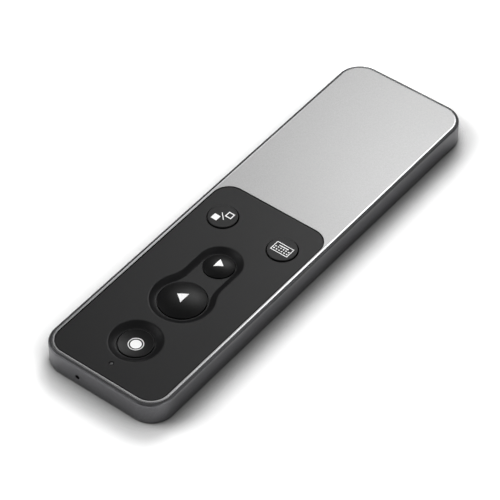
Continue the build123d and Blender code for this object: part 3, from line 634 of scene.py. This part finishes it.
place = add_node(grid_tree, "ShaderNodeVectorMath",
                 {0: place.outputs["Vector"], 1: given["Middle"]}, operation="ADD")
spots = add_node(grid_tree, "GeometryNodeSetPosition",
                 {"Geometry": spots.outputs["Points"], "Position": place.outputs["Vector"]})
copies = add_node(grid_tree, "GeometryNodeInstanceOnPoints",
                  {"Points": spots.outputs["Geometry"], "Instance": given["Geometry"]})
solid = add_node(grid_tree, "GeometryNodeRealizeInstances",
                 {"Geometry": copies.outputs["Instances"]})
painted = add_node(grid_tree, "GeometryNodeSetMaterial",
                   {"Geometry": solid.outputs["Geometry"], "Material": given["Material"]})
add_node(grid_tree, "NodeGroupOutput", {"Geometry": painted.outputs["Geometry"]})

bm = bmesh.new()
bmesh.ops.create_cube(
    bm, size=1.0, matrix=Matrix.Diagonal((key_side * mm, key_side * mm, icon_depth * mm, 1)))
keyboard_keys = grown(new_mesh("keyboard_keys", bm), grid_tree, {
    "Columns": key_columns, "Rows": key_rows,
    "Column Pitch": key_pitch_x * mm, "Row Pitch": key_pitch_y * mm,
    "Middle": (keyboard_spot[0] * mm, (keyboard_spot[1] + keys_up) * mm,
               (panel_high + flat_proud + icon_proud - icon_depth / 2) * mm),
    "Material": icon_white})
for body, node, pieces in (
    ("laser_key", "laser_icon", (disc, ring)),
    ("next_key", "next_icon", (next_mark,)),
    ("back_key", "back_icon", (back_mark,)),
    ("keyboard_key", "keyboard_icon", (board_line, space_bar, keyboard_keys)),
    ("blank_key", "blank_icon", (filled, opened, stroke)),
):
    for i, piece in enumerate(pieces):
        finished(piece, icon_white, body, [node] if i == 0 else ())

# ============================================================================ light pipe
# A clear polycarbonate pin in the panel, over the status light. Its end is rounded, and a
# collar under the panel keeps it from coming out.
pin_radius, pin_high, pin_low = 0.6, 6.66, 3.95
pin_crown, pin_crown_radius, pin_round = 6.67, 0.2, 0.25
pin_collar, pin_collar_high, pin_collar_low = 1.1, 5.32, 4.92

# Unlit, it shows the dark inside of the body and a faint edge. That dark is painted into its
# grey: the clear pin stands in for the dark parts and the shade inside the closed body.
light_pipe = blasted("polycarbonate, clear pin over a dark inside", "#1A1A1B", "#202022",
                     roughness=0.25, grain=0.3, depth=0.0005, metallic=0.0)
bm = bmesh.new()
turned(bm, light_spot,
       [(0, pin_crown), (pin_crown_radius, pin_crown)]
       + rounded((0, pin_high), (pin_radius, pin_high), (pin_radius, pin_collar_high),
                 pin_round, steps=5, hold=0.02)
       + [(pin_radius, pin_collar_high), (pin_collar, pin_collar_high),
          (pin_collar, pin_collar_low), (pin_radius, pin_collar_low),
          (pin_radius, pin_low), (0, pin_low)], steps=64)
finished(new_mesh("light_pin", bm), light_pipe, "body", ["light_pipe"])

# ============================================================================ frame inside
# The same machining leaves a ledge under plate and panel, open under the buttons and over
# the cell, and four posts with blind holes for the cover's screws.
ledge_width, ledge_length, ledge_corner = 35.5, 127.9, 5.75
opening_width, opening_corner = 32.4, 4.2
openings = {"front": (68.5, window_y), "rear": (52.5, -36.15)}
inside_edge = {"radius": 0.1, "steps": 3, "hold": 0.02}
post_spread_x, post_spread_y, post_bite = 28.8, 121.2, 0.1
post_radius, post_low, thread_radius, thread_high = 1.9, 1.0, 0.83, 4.2
thread_lead = 0.15

bm = bmesh.new()
ledge_edges = [raise_rings(bm, round_rect(ledge_width, ledge_length, ledge_corner),
                           [(0, ledge_low), (0, ledge_high)])]
for length, centre_y in openings.values():
    ledge_edges.append(raise_rings(
        bm, round_rect(opening_width, length, opening_corner, centre_y),
        rounded((-1, ledge_low), (0, ledge_low), (0, ledge_high), **inside_edge)
        + rounded((0, ledge_low), (0, ledge_high), (-1, ledge_high), **inside_edge)))
fill_between(bm, *[rings[0] for rings in ledge_edges])
fill_between(bm, *[rings[-1] for rings in ledge_edges])
finished(new_mesh("frame_ledge", bm), grey_anodised, "body")

bm = bmesh.new()
turned(bm, (0, 0),
       [(0, ledge_low + post_bite), (post_radius, ledge_low + post_bite)]
       + rounded((post_radius, ledge_low), (post_radius, post_low), (0, post_low), **inside_edge)
       + rounded((post_radius, post_low), (thread_radius, post_low), (thread_radius, thread_high),
                 thread_lead, steps=3, hold=0.02)
       + [(thread_radius, thread_high), (0, thread_high)], steps=48)
frame_posts = grown(new_mesh("frame_posts", bm), grid_tree, {
    "Columns": 2, "Rows": 2, "Column Pitch": post_spread_x * mm, "Row Pitch": post_spread_y * mm,
    "Middle": (0, 0, 0), "Material": grey_anodised})
finished(frame_posts, grey_anodised, "body")

# ============================================================================ underside
# A moulded black cover closes the bottom. A coin turns its battery door, a ribbed knob
# switches the power, and four countersunk socket screws hold it to the frame.

# The cover is coarse and dull, the knob a little paler and smoother, and the screws have a
# dark sheen.
cover_black = blasted("ABS, moulded black with a coarse eroded texture", "#232325", "#2B2B2D",
                      roughness=0.5, grain=0.35, depth=0.008, metallic=0.0)
knob_grey = blasted("acetal, moulded dark grey", "#333335", "#3B3B3D",
                    roughness=0.4, grain=0.3, depth=0.003, metallic=0.0)
screw_nickel = blasted("steel, black nickel plate", "#4A4A4C", "#58585A",
                       roughness=0.3, grain=0.3, depth=0.002)


def repaint(node, material):
    """Give a CAD piece its finish; its mesh stays as it is."""
    nodes[node].data.materials.clear()
    nodes[node].data.materials.append(material)


for node, material in (("bottom_cover", cover_black), ("battery_door", cover_black),
                       ("power_slider", knob_grey), ("cover_screws", screw_nickel)):
    repaint(node, material)

# ============================================================================ inside
# The board with its chips, switches under a grey silicone mat, the beam module with its
# brass barrel, and the coin cell with its spring contacts.

# Each row: the finish, its darker and lighter tone, roughness, 1 for metal, and the pieces.
inside = (
    # Soft and matt, with hardly a highlight.
    ("grey silicone, moulded", "#4C4C4E", "#565658", 0.6, 0.0, ["keypad_mat", "door_gasket"]),
    # The dullest black in the clicker.
    ("foam tape, black", "#161616", "#202020", 0.85, 0.0, ["plate_tape", "panel_tape"]),
    # Dark green under a smooth lacquer.
    ("fibreglass board under green lacquer", "#0E3B22", "#14502E", 0.35, 0.0, ["circuit_board"]),
    # Matt black blocks on the green.
    ("epoxy, moulded black", "#18181A", "#202022", 0.55, 0.0,
     ["radio_chip", "control_chip", "power_switch"]),
    # Pale metal with a soft sheen.
    ("steel sheet, tin plated", "#B4B5B3", "#C6C7C5", 0.32, 1.0,
     ["radio_shield", "clock_crystal", "laser_diode", "board_screws"]),
    # Cooler than the tin and a little shinier.
    ("stainless steel, stamped", "#B0B1B3", "#C4C5C7", 0.28, 1.0,
     [name + "_switch" for name in buttons]),
    # The one warm colour inside.
    ("brass, turned", "#B08D45", "#C29C4E", 0.25, 1.0, ["laser_barrel"]),
    # The brightest metal inside, a little warm.
    ("steel, nickel plated", "#BEBDBA", "#CECDCA", 0.26, 1.0,
     ["coin_cell", "cell_top_contact", "cell_side_contact"]),
    # Smooth and pale, with a hard highlight.
    ("acrylic, clear", "#C8D0D4", "#D0D8DC", 0.08, 0.0,
     ["laser_lens", "beam_window", "status_led"]),
)
for title, dark, light, roughness, metallic, members in inside:
    material = blasted(title, dark, light, roughness, grain=0.25, depth=0.003, metallic=metallic)
    for node in members:
        repaint(node, material)

# ============================================================================ floor
# A plain pale table. It shows white where the light reaches it and far off, and keeps the
# clicker's shadow, with a painted shadow line close under it.
floor_half, floor_drop = 3000, 0.02
table_tone = 0.75  # what the light meets and bounces off
shown_tone = 1.55  # what the camera and reflections see, so that the lit table is white
painted_shadow_reach, painted_shadow_power = 15, 2.0  # how far that line reaches, and how dark it is
fade_start, fade_end = 140, 240  # between these the table turns plain white

bm = bmesh.new()
bmesh.ops.create_grid(bm, x_segments=2, y_segments=2, size=floor_half * mm,
                      matrix=Matrix.Translation((0, 0, -floor_drop * mm)))
floor = new_mesh("floor", bm)
floor_paint = bpy.data.materials.new("table, pale laminate")
floor_paint.use_nodes = True
tree = floor_paint.node_tree
tree.nodes.clear()
path = add_node(tree, "ShaderNodeLightPath")
seen = add_node(tree, "ShaderNodeMath",
                {0: path.outputs["Is Camera Ray"], 1: path.outputs["Is Glossy Ray"]},
                operation="MAXIMUM")
seen = add_node(tree, "ShaderNodeMath",
                {0: seen.outputs[0], 1: path.outputs["Is Transmission Ray"]},
                operation="MAXIMUM")
plain = add_node(tree, "ShaderNodeBsdfDiffuse",
                 {"Color": (table_tone, table_tone, table_tone, 1)})
# Painted shadow: occlusion by the clicker darkens the table's shown colour close under it.
near = add_node(tree, "ShaderNodeAmbientOcclusion", {"Distance": painted_shadow_reach * mm}, samples=8)
near = add_node(tree, "ShaderNodeMath",
                {0: near.outputs["AO"], 1: painted_shadow_power}, operation="POWER")
shown = add_node(tree, "ShaderNodeMath",
                 {0: near.outputs[0], 1: shown_tone}, operation="MULTIPLY")
bright = add_node(tree, "ShaderNodeBsdfDiffuse", {"Color": shown.outputs[0]})
place = add_node(tree, "ShaderNodeTexCoord").outputs["Object"]
away = add_node(tree, "ShaderNodeVectorMath", {0: place}, operation="LENGTH")
away = add_node(tree, "ShaderNodeMapRange",
                {"Value": away.outputs["Value"],
                 "From Min": fade_start * mm, "From Max": fade_end * mm})
white = add_node(tree, "ShaderNodeEmission", {"Color": (1, 1, 1, 1), "Strength": 1.0})
bright = add_node(tree, "ShaderNodeMixShader",
                  {0: away.outputs["Result"], 1: bright.outputs[0], 2: white.outputs[0]})
mixed = add_node(tree, "ShaderNodeMixShader",
                 {0: seen.outputs[0], 1: plain.outputs[0], 2: bright.outputs[0]})
add_node(tree, "ShaderNodeOutputMaterial", {"Surface": mixed.outputs[0]})
floor.data.materials.append(floor_paint)

# ============================================================================ light
# Plain soft light. Three small boxes behind draw the plate's sheen, four round the front and
# the left light the walls, and two keys, the strongest, light the whole from the right.


def soft_box(name, direction, distance, size, watts):
    """A square lamp that faces the clicker."""
    lamp = bpy.data.lights.new(name, "AREA")
    lamp.shape, lamp.size, lamp.energy = "SQUARE", size * mm, watts
    obj = bpy.data.objects.new(name, lamp)
    scene.collection.objects.link(obj)
    ray = Vector(direction).normalized()
    obj.location = ray * (distance * mm)
    obj.rotation_euler = ray.to_track_quat("Z", "Y").to_euler()
    return obj


soft_box("rear box", (0.18, -0.66, 0.73), distance=360, size=150, watts=0.225)
soft_box("right rear box", (0.43, -0.54, 0.72), distance=400, size=220, watts=0.21)
soft_box("wide rear box", (0.25, -0.60, 0.76), distance=400, size=300, watts=0.115)
soft_box("front box", (0.36, 0.82, 0.44), distance=600, size=500, watts=0.2)
soft_box("left box", (-0.80, 0.05, 0.50), distance=600, size=360, watts=1.0)
soft_box("right front box", (0.72, 0.54, 0.44), distance=600, size=360, watts=0.9)
front_key = soft_box("front key box", (0.60, 0.45, 0.66), distance=600, size=360, watts=1.3)
rear_key = soft_box("rear key box", (0.35, -0.62, 0.60), distance=600, size=360, watts=1.15)
soft_box("fill box", (-0.43, 0.54, 0.72), distance=600, size=450, watts=0.15)
# The keys aren't mirrored, because their bright images would burn the plate out.
front_key.visible_glossy = rear_key.visible_glossy = False

# An even surround: white where it is looked at, dim where it lights and less dim where it is
# mirrored, as in a studio with its walls in shade.
surround, mirrored_more = 0.03, 0.07  # its light, and what a mirror image of it adds to that
world = bpy.data.worlds.new("surround")
world.use_nodes = True
scene.world = world
tree = world.node_tree
tree.nodes.clear()
path = add_node(tree, "ShaderNodeLightPath")
seen = add_node(tree, "ShaderNodeMath",
                {0: path.outputs["Is Camera Ray"], 1: path.outputs["Is Transmission Ray"]},
                operation="MAXIMUM")
dim = add_node(tree, "ShaderNodeMath",
               {0: path.outputs["Is Glossy Ray"], 1: mirrored_more, 2: surround},
               operation="MULTIPLY_ADD")
even = add_node(tree, "ShaderNodeBackground", {"Color": (1, 1, 1, 1), "Strength": dim.outputs[0]})
white = add_node(tree, "ShaderNodeBackground", {"Color": (1, 1, 1, 1), "Strength": 1.0})
mixed = add_node(tree, "ShaderNodeMixShader",
                 {0: seen.outputs[0], 1: even.outputs[0], 2: white.outputs[0]})
add_node(tree, "ShaderNodeOutputWorld", {"Surface": mixed.outputs[0]})
scene.view_settings.view_transform = "Standard"

# ============================================================================ camera
# From above the front left corner, with a long lens.
camera_x, camera_y, camera_z = -291.325, 373.042, 489.545
turn, rise, roll = math.radians(218.3463), math.radians(46.0998), math.radians(-0.43245)
focal_pixels, picture_pixels, sensor_width = 2684.303, 500, 36.0
clip_near, clip_far = 10, 20000

back = Vector((math.sin(turn) * math.cos(rise), -math.cos(turn) * math.cos(rise), math.sin(rise)))
level = Vector((0, 0, 1)).cross(back).normalized()
upward = back.cross(level)
right = math.cos(roll) * level + math.sin(roll) * upward
above = -math.sin(roll) * level + math.cos(roll) * upward
lens = bpy.data.cameras.new("camera")
lens.sensor_width = sensor_width
lens.lens = focal_pixels / picture_pixels * sensor_width
lens.clip_start, lens.clip_end = clip_near * mm, clip_far * mm
camera = bpy.data.objects.new("camera", lens)
scene.collection.objects.link(camera)
camera.matrix_world = Matrix((
    (right.x, above.x, back.x, camera_x * mm),
    (right.y, above.y, back.y, camera_y * mm),
    (right.z, above.z, back.z, camera_z * mm),
    (0, 0, 0, 1)))
scene.camera = camera
